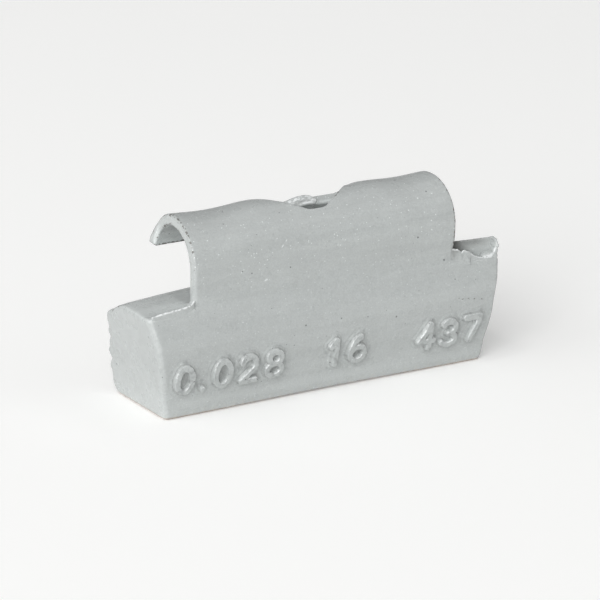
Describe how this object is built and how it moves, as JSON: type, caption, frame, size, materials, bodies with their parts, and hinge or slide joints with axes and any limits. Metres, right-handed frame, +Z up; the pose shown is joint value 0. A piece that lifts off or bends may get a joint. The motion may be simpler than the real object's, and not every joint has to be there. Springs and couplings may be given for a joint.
{
  "type": "wheel balance weight",
  "caption": "Clip-on wheel balance weight: a painted lead bar with tapered ends, cast round the leg of a sprung steel hook that grips the lip of a wheel rim.",
  "frame": {"origin": "middle of the base that the weight stands on", "axes": "+X along the weight, -Y out of the numbered front face, +Z up from the base to the hook"},
  "size_m": [0.0326, 0.0098, 0.0156],
  "materials": {
    "casting_paint": "satin cool-grey paint on cast lead",
    "clip_paint": "satin cool-grey paint on spring steel"
  },
  "bodies": {
    "root": {"weight_body": "casting_paint", "clip": "clip_paint"}
  },
  "joints": []
}
